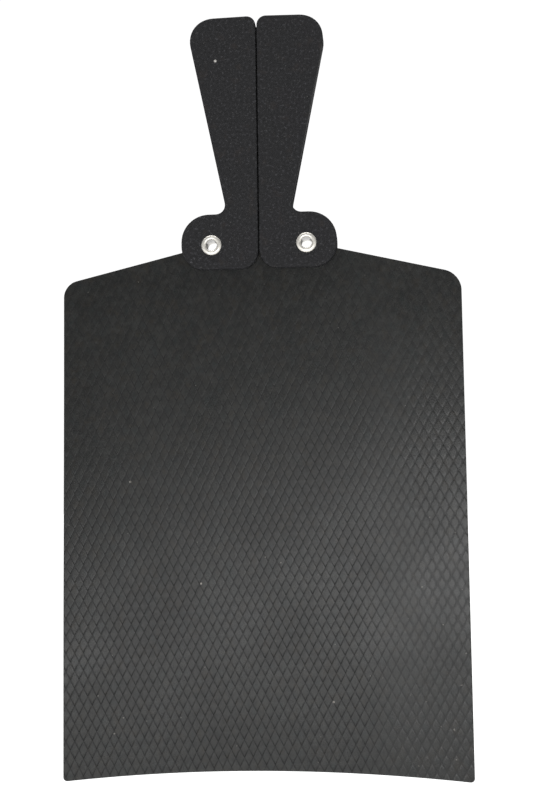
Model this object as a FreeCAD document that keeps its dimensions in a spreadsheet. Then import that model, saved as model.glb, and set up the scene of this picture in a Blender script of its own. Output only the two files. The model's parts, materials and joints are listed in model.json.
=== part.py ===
import FreeCAD, Part
import math
import os
import Sketcher

# A hand-held kick paddle: a flexible rubber leaf whose tongue is clamped between two pairs of grip
# plates by two hollow eyelets. Millimetres, +Z up. The origin is the middle of the handle where a hand
# closes round it. The front, with the embossed side of the leaf, looks along -Y, and X runs across.
# The sheet is three bonded layers. Each layer is built as a tongue, which the plates hold, and a leaf
# panel, which swings about the bend line just below the plates.

SIZES = {
    # Handle, seen from the front. "Corner" sizes are those of the outline before it is rounded.
    "handle_length": 133.0,
    "handle_above_hand": 51.0,
    "top_corner_half_width": 37.4,
    "top_outer_fall": 0.8,
    "neck_corner_half_width": 16.2,
    "lobe_half_span": 40.0,
    "lobe_height": 28.6,
    "seam_gap": 0.6,
    "top_outer_round": 12.5,
    "top_inner_round": 4.8,
    "neck_round": 5.0,
    "lobe_upper_round": 14.2,
    "lobe_lower_round": 12.0,
    "lobe_inner_round": 9.5,
    "grip_thickness": 4.0,
    "grip_edge_round": 0.6,
    # Sheet: the three layers from front to back, and the outline of the leaf below the handle.
    "face_thickness": 1.2,
    "ply_thickness": 0.6,
    "backing_thickness": 1.2,
    "leaf_width": 205.0,
    "leaf_length": 258.2,
    "shoulder_drop": 5.0,
    "shoulder_meets_lobe": 10.0,
    "shoulder_round": 12.7,
    "hem_rise": 5.2,
    "hem_corner_round": 2.0,
    "tongue_inset": 0.6,
    # Bend line, where the swinging panel ends in a rounded nose.
    "tongue_below_lobes": 0.5,
    "bend_clearance": 0.3,
    # Eyelets and their washers.
    "eyelet_spacing": 48.8,
    "eyelet_rise": 12.5,
    "eyelet_bore": 5.6,
    "eyelet_wall": 0.4,
    "eyelet_flange_width": 2.4,
    "eyelet_flange_height": 0.9,
    "eyelet_rim_width": 1.7,
    "eyelet_rim_height": 0.6,
    "eyelet_clearance": 0.1,
    "washer_width": 2.3,
    "washer_thickness": 0.5,
    # Stiffener, let into the back plates.
    "stiffener_width": 20.0,
    "stiffener_length": 108.0,
    "stiffener_rise": 12.0,
    "stiffener_thickness": 1.2,
    "stiffener_end_round": 4.0,
    "stiffener_clearance": 0.1,
}

# Heights and half sizes that several pieces share, as expressions on the sheet.
TOP = "Sizes.handle_above_hand"
LOBE_BOTTOM = "(Sizes.handle_above_hand - Sizes.handle_length)"
LOBE_TOP = f"({LOBE_BOTTOM} + Sizes.lobe_height)"
LEAF_HALF = "(Sizes.leaf_width / 2)"
SHEET_THICKNESS = "(Sizes.face_thickness + Sizes.ply_thickness + Sizes.backing_thickness)"
SHEET_HALF = f"({SHEET_THICKNESS} / 2)"
TONGUE_END = f"({LOBE_BOTTOM} - Sizes.tongue_below_lobes)"
BEND_LINE = f"({TONGUE_END} - Sizes.bend_clearance - {SHEET_HALF})"
NOSE_TOP = f"({BEND_LINE} + {SHEET_HALF})"
SHOULDER = f"({LOBE_BOTTOM} - Sizes.shoulder_drop)"
SHOULDER_RISE = "(Sizes.shoulder_drop + Sizes.shoulder_meets_lobe)"
SHOULDER_SLOPE = f"({SHOULDER_RISE} / ({LEAF_HALF} - Sizes.lobe_half_span))"
HEM_CORNER = f"({LOBE_BOTTOM} - Sizes.leaf_length)"
EYELET_X = "(Sizes.eyelet_spacing / 2)"
EYELET_Z = f"({LOBE_BOTTOM} + Sizes.eyelet_rise)"
BARREL_RADIUS = "(Sizes.eyelet_bore / 2 + Sizes.eyelet_wall)"
HOLE_RADIUS = f"({BARREL_RADIUS} + Sizes.eyelet_clearance)"
BACK_PLATE_FACE = f"({SHEET_HALF} + Sizes.grip_thickness)"
STIFFENER_BOTTOM = f"({LOBE_BOTTOM} + Sizes.stiffener_rise)"
STIFFENER_TOP = f"({STIFFENER_BOTTOM} + Sizes.stiffener_length)"

# Layer name, its thickness, and the plane of its front side.
LAYERS = (
    ("face", "Sizes.face_thickness", f"(-{SHEET_HALF})"),
    ("ply", "Sizes.ply_thickness", f"(-{SHEET_HALF} + Sizes.face_thickness)"),
    ("backing", "Sizes.backing_thickness", f"({SHEET_HALF} - Sizes.backing_thickness)"),
)
SIDES = (("left", -1), ("right", 1))
SAME_PLACE = 0.01

doc = FreeCAD.newDocument("KickPaddle")
sheet = doc.addObject("Spreadsheet::Sheet", "Sizes")


def fill_sheet():
    """Write each driving size as a plain number and name its cell."""
    for row, (alias, number) in enumerate(SIZES.items(), start=1):
        sheet.set(f"A{row}", alias)
        sheet.set(f"B{row}", str(number))
        sheet.setAlias(f"B{row}", alias)
    doc.recompute()


def value(expression):
    """The number that an expression on the sheet has now."""
    found = sheet.evalExpression(expression)
    return float(getattr(found, "Value", found))


def shoulder_height(half_width):
    """The height of the leaf's sloping shoulder at a distance from the centre line, as an expression."""
    return f"({SHOULDER} + {SHOULDER_SLOPE} * ({LEAF_HALF} - {half_width}))"


def shoulder_reach(height):
    """How far from the centre line the sloping shoulder is at a height, as an expression."""
    return f"({LEAF_HALF} - ({height} - {SHOULDER}) / {SHOULDER_SLOPE})"


def arc_radius(chord, rise):
    """The radius of an arc from its chord and rise, as an expression."""
    return f"((({chord}) / 2) ^ 2 + ({rise}) ^ 2) / (2 * ({rise}))"


def new_body(label):
    """A body whose label is the name of its node."""
    body = doc.addObject("PartDesign::Body", label)
    body.Label = label
    return body


def front_sketch(body, name):
    """A sketch on the body's own XZ plane: across is +X, up is +Z."""
    sketch = body.newObject("Sketcher::SketchObject", f"{body.Name}_{name}")
    plane = next(f for f in body.Origin.OriginFeatures if f.Role == "XZ_Plane")
    sketch.AttachmentSupport = [(plane, "")]
    sketch.MapMode = "FlatFace"
    return sketch


def tie_point(sketch, edge, end, name, across, up):
    """Hold one end of an edge at a place given by two expressions."""
    for kind, expression in (("DistanceX", across), ("DistanceY", up)):
        number = sketch.addConstraint(Sketcher.Constraint(kind, -1, 1, edge, end, value(expression)))
        sketch.renameConstraint(number, f"{name}_{kind}")
        sketch.setExpression(f"Constraints.{name}_{kind}", expression)


def polygon(body, name, corners):
    """A closed outline of straight edges through corners given as pairs of expressions."""
    sketch = front_sketch(body, name)
    points = [FreeCAD.Vector(value(across), value(up), 0) for across, up in corners]
    for number, point in enumerate(points):
        following = points[(number + 1) % len(points)]
        sketch.addGeometry(Part.LineSegment(point, following), False)
    for number, (across, up) in enumerate(corners):
        before = (number - 1) % len(corners)
        sketch.addConstraint(Sketcher.Constraint("Coincident", before, 2, number, 1))
        tie_point(sketch, number, 1, f"corner{number}", across, up)
    return sketch


def circles(body, name, places, radius):
    """A sketch of equal circles at places given as pairs of expressions."""
    sketch = front_sketch(body, name)
    for number, (across, up) in enumerate(places):
        middle = FreeCAD.Vector(value(across), value(up), 0)
        sketch.addGeometry(Part.Circle(middle, FreeCAD.Vector(0, 0, 1), value(radius)), False)
        tie_point(sketch, number, 3, f"centre{number}", across, up)
        size = sketch.addConstraint(Sketcher.Constraint("Radius", number, value(radius)))
        sketch.renameConstraint(size, f"radius{number}")
        sketch.setExpression(f"Constraints.radius{number}", radius)
    return sketch


def bulged_arc(sketch, name, first, last, chord, rise, joined_to):
    """Add an arc between two places, bulging to the right of the way it runs, and join its ends."""
    radius = arc_radius(chord, rise)
    start, end = (FreeCAD.Vector(value(across), value(up), 0) for across, up in (first, last))
    along = (end - start).normalize()
    leftwards = FreeCAD.Vector(-along.y, along.x, 0)
    centre = (start + end) / 2 + leftwards * (value(radius) - value(rise))
    turns = [math.atan2(point.y - centre.y, point.x - centre.x) for point in (start, end)]
    circle = Part.Circle(centre, FreeCAD.Vector(0, 0, 1), value(radius))
    number = sketch.addGeometry(Part.ArcOfCircle(circle, *turns), False)
    for own_end, (edge, edge_end) in zip((1, 2), joined_to):
        sketch.addConstraint(Sketcher.Constraint("Coincident", number, own_end, edge, edge_end))
    size = sketch.addConstraint(Sketcher.Constraint("Radius", number, value(radius)))
    sketch.renameConstraint(size, name)
    sketch.setExpression(f"Constraints.{name}", radius)


def pad(body, sketch, thickness, towards_back):
    """Thicken an outline from the body's XZ plane, towards +Y if towards_back or else towards -Y."""
    feature = body.newObject("PartDesign::Pad", f"{body.Name}_pad")
    feature.Profile = sketch
    feature.setExpression("Length", thickness)
    feature.Reversed = towards_back
    doc.recompute()
    return feature


def cut_through(body, sketch):
    """Cut a sketch's regions right through the body, both ways from its plane."""
    whole = body.Shape.Volume
    feature = body.newObject("PartDesign::Pocket", f"{body.Name}_holes")
    feature.Profile = sketch
    feature.Type = "ThroughAll"
    feature.Midplane = True
    doc.recompute()
    check_removed(body, whole)


def cut_recess(body, sketch, depth):
    """Cut a sketch's regions into a body that lies on the +Y side of its XZ plane."""
    whole = body.Shape.Volume
    feature = body.newObject("PartDesign::Pocket", f"{body.Name}_recess")
    feature.Profile = sketch
    feature.setExpression("Length", depth)
    feature.Reversed = False
    doc.recompute()
    check_removed(body, whole)


def check_removed(body, whole):
    """Stop if a cut took nothing away."""
    if body.Shape.Volume > whole - SAME_PLACE:
        raise RuntimeError(f"a cut in {body.Label} removed nothing")


def corner_edges(body, places):
    """Names of the edges along Y that stand at the given places across and up."""
    spots = [(value(across), value(up)) for across, up in places]
    names = []
    for number, edge in enumerate(body.Shape.Edges, start=1):
        first, last = edge.Vertexes[0].Point, edge.Vertexes[-1].Point
        if math.hypot(first.x - last.x, first.z - last.z) > SAME_PLACE:
            continue
        if any(math.hypot(first.x - x, first.z - z) < SAME_PLACE for x, z in spots):
            names.append(f"Edge{number}")
    return names


def round_edges(body, name, edges, radius):
    """Round named edges of the body's last feature."""
    last_feature = body.Tip
    feature = body.newObject("PartDesign::Fillet", f"{body.Name}_{name}")
    feature.Base = (last_feature, edges)
    feature.setExpression("Radius", radius)
    doc.recompute()


def round_corners(body, name, places, radius):
    """Round the corners of an outline that stand at the given places."""
    edges = corner_edges(body, places)
    if len(edges) != len(places):
        raise RuntimeError(f"{body.Label}: {name} found {len(edges)} corners of {len(places)}")
    round_edges(body, name, edges, radius)


def mirrored(places):
    """The same places on both sides of the centre line, in order round the outline."""
    across_centre = [(f"(-{across})", up) for across, up in reversed(places)]
    return list(places) + across_centre


def side_of(sign, across):
    """An expression for a distance from the centre line, on one side of it."""
    return across if sign > 0 else f"(-{across})"


def grip_plate(face_name, side_name, sign, towards_back):
    """One of the four plates: a lobe with an eyelet hole, a neck and a flaring grip."""
    body = new_body(f"grip_{face_name}_{side_name}")
    seam = side_of(sign, "(Sizes.seam_gap / 2)")
    lobe_side = side_of(sign, "Sizes.lobe_half_span")
    neck_side = side_of(sign, "Sizes.neck_corner_half_width")
    top_side = side_of(sign, "Sizes.top_corner_half_width")
    lobe_inner = (seam, LOBE_BOTTOM)
    lobe_lower = (lobe_side, LOBE_BOTTOM)
    lobe_upper = (lobe_side, LOBE_TOP)
    neck = (neck_side, LOBE_TOP)
    top_outer = (top_side, f"({TOP} - Sizes.top_outer_fall)")
    top_inner = (seam, TOP)
    outline = polygon(body, "outline", [lobe_inner, lobe_lower, lobe_upper, neck, top_outer, top_inner])
    pad(body, outline, "Sizes.grip_thickness", towards_back)
    round_corners(body, "lobe_inner_round", [lobe_inner], "Sizes.lobe_inner_round")
    round_corners(body, "lobe_lower_round", [lobe_lower], "Sizes.lobe_lower_round")
    round_corners(body, "lobe_upper_round", [lobe_upper], "Sizes.lobe_upper_round")
    round_corners(body, "neck_round", [neck], "Sizes.neck_round")
    round_corners(body, "top_outer_round", [top_outer], "Sizes.top_outer_round")
    round_corners(body, "top_inner_round", [top_inner], "Sizes.top_inner_round")
    outer_plane = value("Sizes.grip_thickness") * (1 if towards_back else -1)
    rim = [
        f"Edge{number}"
        for number, edge in enumerate(body.Shape.Edges, start=1)
        if all(abs(v.Point.y - outer_plane) < SAME_PLACE for v in edge.Vertexes)
    ]
    round_edges(body, "edge_round", rim, "Sizes.grip_edge_round")
    cut_through(body, circles(body, "hole", [(side_of(sign, EYELET_X), EYELET_Z)], HOLE_RADIUS))
    if towards_back:
        recess_side = side_of(sign, "(Sizes.stiffener_width / 2 + Sizes.stiffener_clearance)")
        recess_low = f"({STIFFENER_BOTTOM} - Sizes.stiffener_clearance)"
        recess_high = f"({STIFFENER_TOP} + Sizes.stiffener_clearance)"
        past_seam = side_of(-sign, "Sizes.seam_gap")
        corners = [
            (past_seam, recess_low),
            (recess_side, recess_low),
            (recess_side, recess_high),
            (past_seam, recess_high),
        ]
        cut_recess(body, polygon(body, "recess_outline", corners), "Sizes.stiffener_thickness")
    body.setExpression("Placement.Base.y", SHEET_HALF if towards_back else f"-{SHEET_HALF}")
    return body


def tongue_layer(layer_name, thickness, front_plane):
    """The held part of one layer: the handle's outline, a little inside it, and the shoulders."""
    body = new_body(f"tongue_{layer_name}")
    inset = "Sizes.tongue_inset"
    lobe_side = f"(Sizes.lobe_half_span - {inset})"
    lobe_top = f"({LOBE_TOP} - {inset})"
    neck_side = f"(Sizes.neck_corner_half_width - {inset})"
    top_side = f"(Sizes.top_corner_half_width - {inset})"
    top_height = f"({TOP} - Sizes.top_inner_round)"
    tip = (shoulder_reach(TONGUE_END), TONGUE_END)
    shoulder_end = (lobe_side, shoulder_height(lobe_side))
    lobe_upper = (lobe_side, lobe_top)
    neck = (neck_side, lobe_top)
    top_outer = (top_side, top_height)
    outline = polygon(body, "outline", mirrored([tip, shoulder_end, lobe_upper, neck, top_outer]))
    pad(body, outline, thickness, True)
    lobe_round = f"(Sizes.lobe_upper_round - {inset})"
    neck_round = f"(Sizes.neck_round + {inset})"
    round_corners(body, "lobe_round", mirrored([lobe_upper]), lobe_round)
    round_corners(body, "neck_round", mirrored([neck]), neck_round)
    round_corners(body, "top_round", mirrored([top_outer]), f"(Sizes.top_outer_round - {inset})")
    cut_through(body, circles(body, "holes", mirrored([(EYELET_X, EYELET_Z)]), HOLE_RADIUS))
    body.setExpression("Placement.Base.y", front_plane)
    return body


def leaf_outline(body):
    """The leaf below the bend line: shoulders, straight sides and a hollow bottom edge."""
    sketch = front_sketch(body, "outline")
    corners = mirrored(
        [
            (LEAF_HALF, HEM_CORNER),
            (LEAF_HALF, SHOULDER),
            (shoulder_reach(NOSE_TOP), NOSE_TOP),
        ]
    )
    points = [FreeCAD.Vector(value(across), value(up), 0) for across, up in corners]
    for first, second in zip(points, points[1:]):
        sketch.addGeometry(Part.LineSegment(first, second), False)
    for number, (across, up) in enumerate(corners[:-1]):
        tie_point(sketch, number, 1, f"corner{number}", across, up)
        if number:
            sketch.addConstraint(Sketcher.Constraint("Coincident", number - 1, 2, number, 1))
    last = len(corners) - 2
    tie_point(sketch, last, 2, "last_corner", *corners[-1])
    ends = ((0, 1), (last, 2))
    bulged_arc(sketch, "hem", corners[0], corners[-1], "Sizes.leaf_width", "Sizes.hem_rise", ends)
    return sketch


def nose_shape():
    """The room that every layer of the swinging panel fills: all below the bend line, and a round nose."""
    below = doc.addObject("Part::Box", "below_bend")
    below.setExpression("Length", "Sizes.leaf_width * 2")
    below.setExpression("Width", SHEET_THICKNESS)
    below.setExpression("Height", "Sizes.leaf_length * 2")
    below.setExpression("Placement.Base.x", "-Sizes.leaf_width")
    below.setExpression("Placement.Base.y", f"-{SHEET_HALF}")
    below.setExpression("Placement.Base.z", f"{BEND_LINE} - Sizes.leaf_length * 2")
    nose = doc.addObject("Part::Cylinder", "bend_nose")
    nose.setExpression("Radius", SHEET_HALF)
    nose.setExpression("Height", "Sizes.leaf_width * 2")
    nose.Placement.Rotation = FreeCAD.Rotation(FreeCAD.Vector(0, 1, 0), 90)
    nose.setExpression("Placement.Base.x", "-Sizes.leaf_width")
    nose.setExpression("Placement.Base.z", BEND_LINE)
    room = doc.addObject("Part::Fuse", "panel_room")
    room.Base = below
    room.Tool = nose
    doc.recompute()
    return room


def leaf_layer(layer_name, thickness, front_plane, room):
    """The swinging part of one layer, with its share of the rounded nose."""
    body = new_body(f"blank_{layer_name}")
    pad(body, leaf_outline(body), thickness, True)
    round_corners(body, "shoulder_round", mirrored([(LEAF_HALF, SHOULDER)]), "Sizes.shoulder_round")
    round_corners(body, "hem_round", mirrored([(LEAF_HALF, HEM_CORNER)]), "Sizes.hem_corner_round")
    body.setExpression("Placement.Base.y", front_plane)
    layer = doc.addObject("Part::Common", f"leaf_{layer_name}")
    layer.Label = f"leaf_{layer_name}"
    layer.Base = body
    layer.Tool = room
    layer.Refine = True
    doc.recompute()
    return layer


def stiffener():
    """The flat strip between the tongue and the back plates."""
    body = new_body("handle_stiffener")
    half = "(Sizes.stiffener_width / 2)"
    low, high = (half, STIFFENER_BOTTOM), (half, STIFFENER_TOP)
    pad(body, polygon(body, "outline", mirrored([low, high])), "Sizes.stiffener_thickness", True)
    round_corners(body, "end_round", mirrored([low, high]), "Sizes.stiffener_end_round")
    body.setExpression("Placement.Base.y", SHEET_HALF)
    return body


def eyelet(side_name, sign):
    """A hollow eyelet: a wide rolled flange in front, a barrel, and a smaller rolled rim on the washer."""
    body = new_body(f"eyelet_{side_name}")
    sketch = body.newObject("Sketcher::SketchObject", f"{body.Name}_section")
    plane = next(f for f in body.Origin.OriginFeatures if f.Role == "XY_Plane")
    sketch.AttachmentSupport = [(plane, "")]
    sketch.MapMode = "FlatFace"
    bore = "(Sizes.eyelet_bore / 2)"
    front = f"(-{BACK_PLATE_FACE})"
    back = f"({BACK_PLATE_FACE} + Sizes.washer_thickness)"
    flange_edge = (f"({bore} + Sizes.eyelet_flange_width)", front)
    rim_edge = (f"({bore} + Sizes.eyelet_rim_width)", back)
    open_run = [(bore, back), (bore, front)]
    wall_run = [flange_edge, (BARREL_RADIUS, front), (BARREL_RADIUS, back), rim_edge]
    for run_name, run in (("open", open_run), ("wall", wall_run)):
        points = [FreeCAD.Vector(value(across), value(along), 0) for across, along in run]
        for step, (first, second) in enumerate(zip(points, points[1:])):
            number = sketch.addGeometry(Part.LineSegment(first, second), False)
            tie_point(sketch, number, 1, f"{run_name}{step}", *run[step])
            if step:
                sketch.addConstraint(Sketcher.Constraint("Coincident", number - 1, 2, number, 1))
        tie_point(sketch, number, 2, f"{run_name}_end", *run[-1])
    flange_rise, rim_rise = "Sizes.eyelet_flange_height", "Sizes.eyelet_rim_height"
    flange_ends, rim_ends = ((0, 2), (1, 1)), ((3, 2), (0, 1))
    flange_chord, rim_chord = "Sizes.eyelet_flange_width", "Sizes.eyelet_rim_width"
    bulged_arc(sketch, "flange", (bore, front), flange_edge, flange_chord, flange_rise, flange_ends)
    bulged_arc(sketch, "rim", rim_edge, (bore, back), rim_chord, rim_rise, rim_ends)
    turned = body.newObject("PartDesign::Revolution", f"{body.Name}_turned")
    turned.Profile = sketch
    turned.ReferenceAxis = (sketch, ["V_Axis"])
    turned.Angle = 360.0
    doc.recompute()
    body.setExpression("Placement.Base.x", side_of(sign, EYELET_X))
    body.setExpression("Placement.Base.z", EYELET_Z)
    return body


def washer(side_name, sign):
    """The flat ring between a back plate and its eyelet's rolled rim."""
    body = new_body(f"washer_{side_name}")
    centre = [(side_of(sign, EYELET_X), EYELET_Z)]
    disc = circles(body, "disc", centre, f"({HOLE_RADIUS} + Sizes.washer_width)")
    pad(body, disc, "Sizes.washer_thickness", True)
    cut_through(body, circles(body, "hole", centre, HOLE_RADIUS))
    body.setExpression("Placement.Base.y", BACK_PLATE_FACE)
    return body


def check_document():
    """Stop if any object failed to build."""
    for item in doc.Objects:
        if "Invalid" in item.State or "Error" in item.State:
            raise RuntimeError(f"{item.Label} failed: {item.State}")


def check_solid(part):
    """Stop if a sub-part isn't one sound solid."""
    shape = part.Shape
    if shape.isNull() or not shape.isValid() or len(shape.Solids) != 1:
        raise RuntimeError(f"{part.Label} is not one sound solid")


def build():
    """Make every sub-part, from the front plates to the back washers."""
    fill_sheet()
    parts = []
    for side_name, sign in SIDES:
        parts.append(grip_plate("front", side_name, sign, False))
    room = nose_shape()
    for layer_name, thickness, front_plane in LAYERS:
        parts.append(tongue_layer(layer_name, thickness, front_plane))
        parts.append(leaf_layer(layer_name, thickness, front_plane, room))
    parts.append(stiffener())
    for side_name, sign in SIDES:
        parts.append(grip_plate("back", side_name, sign, True))
        parts.append(eyelet(side_name, sign))
        parts.append(washer(side_name, sign))
    doc.recompute()
    return parts


def export(parts):
    """Write each sub-part to its own file, once all of them are sound."""
    check_document()
    for part in parts:
        check_solid(part)
    os.makedirs("parts", exist_ok=True)
    for part in parts:
        part.Shape.exportStep(os.path.join("parts", f"{part.Label}.step"))
        box = part.Shape.BoundBox
        print(
            f"{part.Label}: {part.Shape.Volume:.1f} mm3,"
            f" x {box.XMin:.2f} to {box.XMax:.2f},"
            f" y {box.YMin:.2f} to {box.YMax:.2f},"
            f" z {box.ZMin:.2f} to {box.ZMax:.2f}"
        )


export(build())
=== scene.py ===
import json
import logging
import math
from dataclasses import dataclass
from enum import Enum
from typing import Any, Callable, Sequence

import bmesh
import bpy
from mathutils import Euler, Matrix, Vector

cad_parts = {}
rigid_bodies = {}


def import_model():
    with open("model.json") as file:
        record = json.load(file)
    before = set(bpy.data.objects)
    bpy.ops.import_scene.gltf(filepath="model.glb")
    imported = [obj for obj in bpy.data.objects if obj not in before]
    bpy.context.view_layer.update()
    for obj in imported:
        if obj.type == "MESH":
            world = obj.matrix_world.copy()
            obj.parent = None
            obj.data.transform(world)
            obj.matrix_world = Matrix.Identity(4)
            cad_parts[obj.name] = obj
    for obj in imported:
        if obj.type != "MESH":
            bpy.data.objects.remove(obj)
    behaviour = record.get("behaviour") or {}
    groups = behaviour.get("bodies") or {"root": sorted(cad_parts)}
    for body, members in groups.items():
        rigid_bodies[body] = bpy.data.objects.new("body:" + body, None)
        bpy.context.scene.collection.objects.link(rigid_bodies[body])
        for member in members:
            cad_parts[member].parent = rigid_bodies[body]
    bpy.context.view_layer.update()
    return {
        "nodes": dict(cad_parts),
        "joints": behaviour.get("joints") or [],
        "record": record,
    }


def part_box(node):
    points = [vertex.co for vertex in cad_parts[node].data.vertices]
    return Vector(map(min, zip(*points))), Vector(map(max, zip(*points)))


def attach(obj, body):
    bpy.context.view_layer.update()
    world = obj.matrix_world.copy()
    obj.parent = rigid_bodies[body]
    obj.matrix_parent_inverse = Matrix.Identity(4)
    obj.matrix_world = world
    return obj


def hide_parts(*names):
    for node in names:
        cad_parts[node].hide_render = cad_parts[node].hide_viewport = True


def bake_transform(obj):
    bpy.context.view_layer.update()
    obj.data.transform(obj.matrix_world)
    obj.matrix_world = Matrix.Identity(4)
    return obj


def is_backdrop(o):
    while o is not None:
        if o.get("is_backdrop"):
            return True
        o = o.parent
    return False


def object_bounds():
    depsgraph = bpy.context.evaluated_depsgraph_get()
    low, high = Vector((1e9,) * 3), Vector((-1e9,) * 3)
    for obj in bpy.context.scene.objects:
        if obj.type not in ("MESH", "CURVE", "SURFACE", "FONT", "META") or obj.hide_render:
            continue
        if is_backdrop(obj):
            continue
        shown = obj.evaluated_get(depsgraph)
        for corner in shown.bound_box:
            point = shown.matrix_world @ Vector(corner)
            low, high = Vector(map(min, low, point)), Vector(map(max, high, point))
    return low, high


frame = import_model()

log = logging.getLogger("kick_paddle")

MM = 0.001
ALONG_X = Vector((1.0, 0.0, 0.0))
ALONG_Y = Vector((0.0, 1.0, 0.0))
ALONG_Z = Vector((0.0, 0.0, 1.0))
HALF = 0.5
QUARTER_TURN = math.pi / 2
NEAR = MM / 100
MERGE = MM / 1000
ABOVE_FLOOR = MM / 10

Colour = tuple[float, float, float, float]
Band = tuple[float, float]


class Slot(Enum):
    """The record's material slots."""

    LEAF = "leaf_rubber"
    PLY = "ply_cloth"
    GRIP = "grip_rubber"
    STIFFENER = "stiffener_plastic"
    NICKEL = "nickel"


class Body(Enum):
    """The bodies that pieces move with."""

    HANDLE = "handle"
    LEAF = "leaf"


class Side(Enum):
    """Which half of the handle a piece is on, as the sign of its distance across."""

    LEFT = -1
    RIGHT = 1


class Face(Enum):
    """Which face of the handle a plate is on, as the sign of its distance through it."""

    FRONT = -1
    BACK = 1


def smooth_step(value: float, low: float, high: float) -> float:
    """A soft rise from 0 at low to 1 at high."""
    place = min(max((value - low) / (high - low), 0.0), 1.0)
    return place * place * (3.0 - 2.0 * place)


# ------------------------------------------------------------------ modelling by hand tools


@dataclass(frozen=True)
class Corner:
    """One corner of a flat outline, and the radius that it is rounded to, or 0."""

    across: float
    up: float
    radius: float = 0.0


class Workpiece:
    """A mesh on the bench: it holds the object and gives the edit tools plain names."""

    def __init__(self, thing: bpy.types.Object, name: str) -> None:
        """Take an object as the piece being shaped.

        Args:
            thing: The mesh object.
            name: The piece's name.
        """
        self.thing = thing
        self.thing.name = name
        self.thing.data.name = name

    # ---- starting a piece

    @staticmethod
    def clear_selection() -> None:
        """Deselect every object."""
        for thing in bpy.context.view_layer.objects:
            thing.select_set(False)

    @classmethod
    def take_active(cls, name: str) -> "Workpiece":
        """The newly added primitive, with its place put into its mesh."""
        bpy.ops.object.transform_apply(location=True, rotation=True, scale=True)
        return cls(bpy.context.active_object, name)

    @classmethod
    def grid(cls, name: str, cells: int, side: float, middle: Vector, turn: float) -> "Workpiece":
        """A square grid that stands upright and faces the front.

        Args:
            name: The piece's name.
            cells: How many cells each side has.
            side: The length of a side.
            middle: The grid's middle.
            turn: How far it is turned about the line through the sheet, in radians.

        Returns:
            The piece.
        """
        cls.clear_selection()
        bpy.ops.mesh.primitive_grid_add(
            x_subdivisions=cells,
            y_subdivisions=cells,
            size=side,
            location=middle,
            rotation=Euler((QUARTER_TURN, turn, 0.0)),
        )
        return cls.take_active(name)

    @classmethod
    def drum(cls, name: str, radius: float, length: float, middle: Vector, sides: int) -> "Workpiece":
        """A round bar through the sheet, as a cutter.

        Args:
            name: The piece's name.
            radius: Its radius.
            length: Its length.
            middle: Its middle.
            sides: How many sides it has.

        Returns:
            The piece.
        """
        cls.clear_selection()
        bpy.ops.mesh.primitive_cylinder_add(
            vertices=sides,
            radius=radius,
            depth=length,
            location=middle,
            rotation=(QUARTER_TURN, 0.0, 0.0),
        )
        return cls.take_active(name)

    @classmethod
    def block(cls, name: str, low: Vector, high: Vector) -> "Workpiece":
        """A block between two corners, as a cutter.

        Args:
            name: The piece's name.
            low: Its lowest corner.
            high: Its highest corner.

        Returns:
            The piece.
        """
        cls.clear_selection()
        bpy.ops.mesh.primitive_cube_add(size=1.0, location=(low + high) / 2)
        bpy.context.active_object.scale = high - low
        return cls.take_active(name)

    @classmethod
    def chain(cls, name: str, places: Sequence[Vector]) -> "Workpiece":
        """A closed line of edges, drawn from one vertex that is extruded from place to place.

        Args:
            name: The piece's name.
            places: Where the vertices are, in order.

        Returns:
            The piece, in object mode.
        """
        cls.clear_selection()
        bpy.ops.mesh.primitive_plane_add(size=MM, location=places[0])
        piece = cls.take_active(name)
        piece.open()
        bpy.ops.mesh.select_all(action="SELECT")
        bpy.ops.mesh.merge(type="CENTER")
        for before, after in zip(places, places[1:]):
            bpy.ops.mesh.extrude_region_move(TRANSFORM_OT_translate={"value": after - before})
        first, last = places[0], places[-1]
        piece.pick_vertices(lambda co: min((co - first).length, (co - last).length) < NEAR)
        bpy.ops.mesh.edge_face_add()
        piece.shut()
        return piece

    @classmethod
    def plate(
        cls, name: str, corners: Sequence[Corner], front: float, back: float, steps: int
    ) -> "Workpiece":
        """A flat plate from its outline: corners joined, rounded one by one, filled and extruded.

        Args:
            name: The piece's name.
            corners: The outline's corners, in order.
            front: Where the plate's front is.
            back: Where its back is.
            steps: How many segments a rounded corner has.

        Returns:
            The piece, in object mode.
        """
        places = [Vector((corner.across, front, corner.up)) for corner in corners]
        piece = cls.chain(name, places)
        piece.open()
        bpy.ops.mesh.select_all(action="SELECT")
        bpy.ops.mesh.edge_face_add()
        for number, corner in enumerate(corners):
            if corner.radius > 0:
                piece.round_corner(places, number, corner.radius, steps)
        bpy.ops.mesh.select_all(action="SELECT")
        bpy.ops.mesh.extrude_region_move(TRANSFORM_OT_translate={"value": ALONG_Y * (back - front)})
        piece.face_outwards()
        piece.shut()
        return piece

    def round_corner(self, places: Sequence[Vector], number: int, radius: float, steps: int) -> None:
        """Round one corner of a flat outline.

        Args:
            places: The outline's corners.
            number: Which corner.
            radius: The arc's radius.
            steps: How many segments the arc has.
        """
        here = places[number]
        one = (places[number - 1] - here).normalized()
        other = (places[(number + 1) % len(places)] - here).normalized()
        tangent = radius / math.tan(one.angle(other) / 2)
        self.pick_vertices(lambda co: (co - here).length < NEAR)
        bpy.ops.mesh.bevel(
            offset=tangent,
            offset_type="OFFSET",
            segments=steps,
            profile=HALF,
            affect="VERTICES",
            clamp_overlap=False,
        )

    # ---- modes and selection

    def open(self) -> None:
        """Go into edit mode on this piece alone, with nothing selected."""
        self.clear_selection()
        self.thing.select_set(True)
        bpy.context.view_layer.objects.active = self.thing
        bpy.ops.object.mode_set(mode="EDIT")
        bpy.ops.mesh.select_mode(type="VERT")
        bpy.ops.mesh.select_all(action="DESELECT")

    def shut(self) -> None:
        """Go back to object mode."""
        bpy.ops.object.mode_set(mode="OBJECT")

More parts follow.
